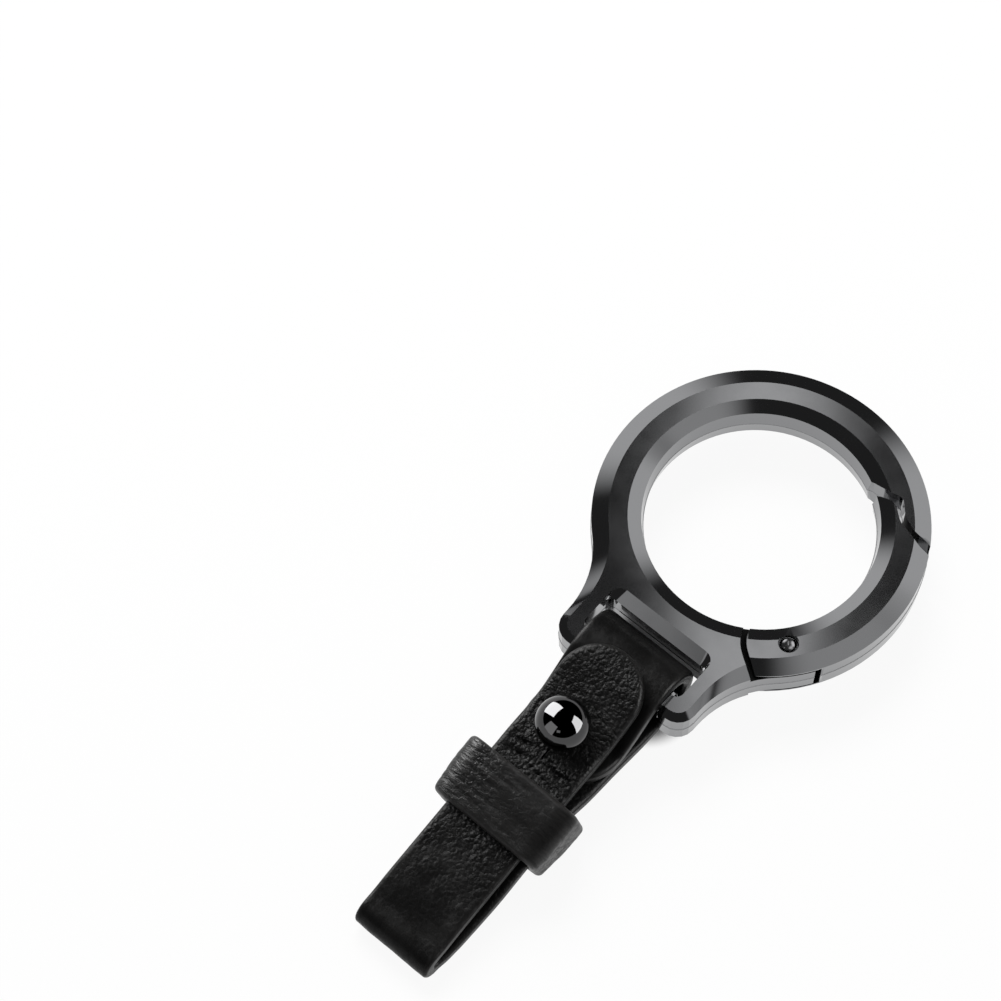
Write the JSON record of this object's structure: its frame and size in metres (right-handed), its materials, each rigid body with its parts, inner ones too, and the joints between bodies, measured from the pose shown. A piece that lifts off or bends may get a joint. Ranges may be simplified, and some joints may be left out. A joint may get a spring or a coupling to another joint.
{
  "type": "leather keychain",
  "caption": "Black leather strap keychain with a ball stud, a sliding leather keeper and a gunmetal ring clip with a sprung gate.",
  "frame": {"origin": "under the middle of the whole keychain, at the level of its lowest point, the underside of the strap's loop", "axes": "ring lying flat: +Z out of its front face, +Y from the strap's loop to the far side of the ring, +X towards the gate"},
  "size_m": [0.038, 0.0818, 0.0158],
  "materials": {
    "gunmetal": "dark gunmetal plating, polished",
    "pin_steel": "satin",
    "spring_steel": "plain drawn wire",
    "black_chrome": "black mirror polish",
    "strap_leather": "pebble grain, semi matt",
    "keeper_leather": "creased grain with a soft sheen"
  },
  "bodies": {
    "frame": {"ring_frame": "gunmetal"},
    "gate": {"gate": "gunmetal", "hinge_pin": "pin_steel", "gate_spring": "spring_steel"},
    "strap": {"strap": "strap_leather", "stud_ball": "black_chrome", "stud_screw": "black_chrome"},
    "keeper": {"keeper_loop": "keeper_leather"}
  },
  "joints": [
    {"name": "gate_hinge", "type": "hinge", "parent": "frame", "child": "gate", "pos_m": [0.0118, 0.01193, 0.00659], "axis": [0, 0, 1], "range_deg": [0, 28], "stiffness_Nm_per_rad": 0.05, "springref_deg": -28.65},
    {"name": "strap_swing", "type": "hinge", "parent": "frame", "child": "strap", "pos_m": [0, -0.00171, 0.00659], "axis": [1, 0, 0], "range_deg": [-60, 90]},
    {"name": "keeper_slide", "type": "slide", "parent": "strap", "child": "keeper", "axis": [0, -0.9784, -0.2067], "range_m": [0, 0.008]}
  ]
}
